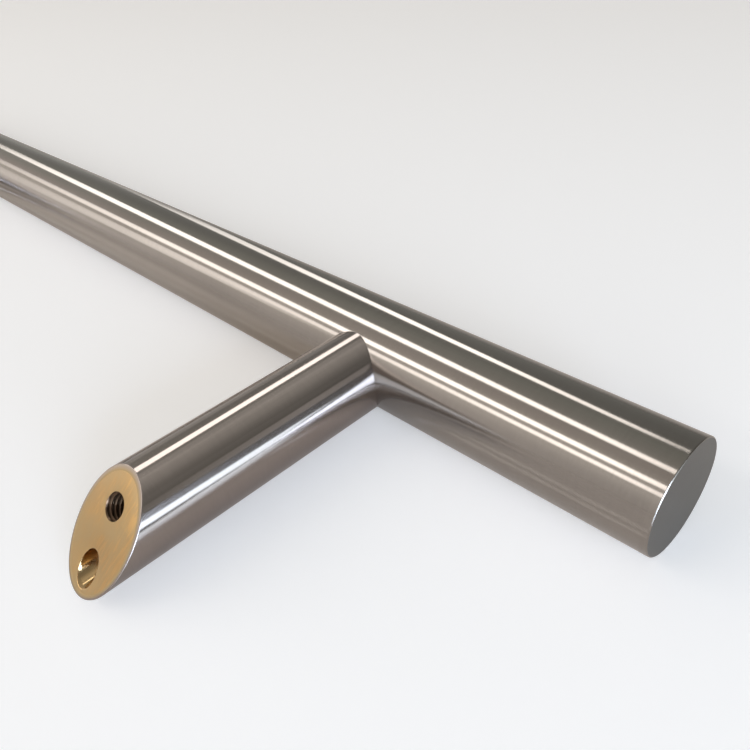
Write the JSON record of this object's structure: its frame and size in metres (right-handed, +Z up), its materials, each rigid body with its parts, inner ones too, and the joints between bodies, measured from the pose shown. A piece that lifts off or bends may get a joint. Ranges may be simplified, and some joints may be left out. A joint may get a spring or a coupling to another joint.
{
  "type": "bridge pull handle",
  "caption": "Long round door pull on offset posts, each mitred to a sloping fixing face with a tapped brass core.",
  "frame": {"origin": "on the surface the handle lies on, under the middle of its box", "axes": "+X along the grip, +Y away from the fixing faces, +Z up, so the fixing faces look up and towards -Y"},
  "size_m": [0.6, 0.1242, 0.032],
  "materials": {
    "satin_steel": "fine satin polish",
    "brass": "milled and drilled",
    "plain_steel": "plain"
  },
  "bodies": {
    "root": {"grip_tube": "satin_steel", "end_cap_right": "satin_steel", "post_sleeve_right": "satin_steel", "post_core_right": "brass", "post_screw_right": "plain_steel", "anchor_block_right": "plain_steel", "end_cap_left": "satin_steel", "post_sleeve_left": "satin_steel", "post_core_left": "brass", "post_screw_left": "plain_steel", "anchor_block_left": "plain_steel"}
  },
  "joints": []
}
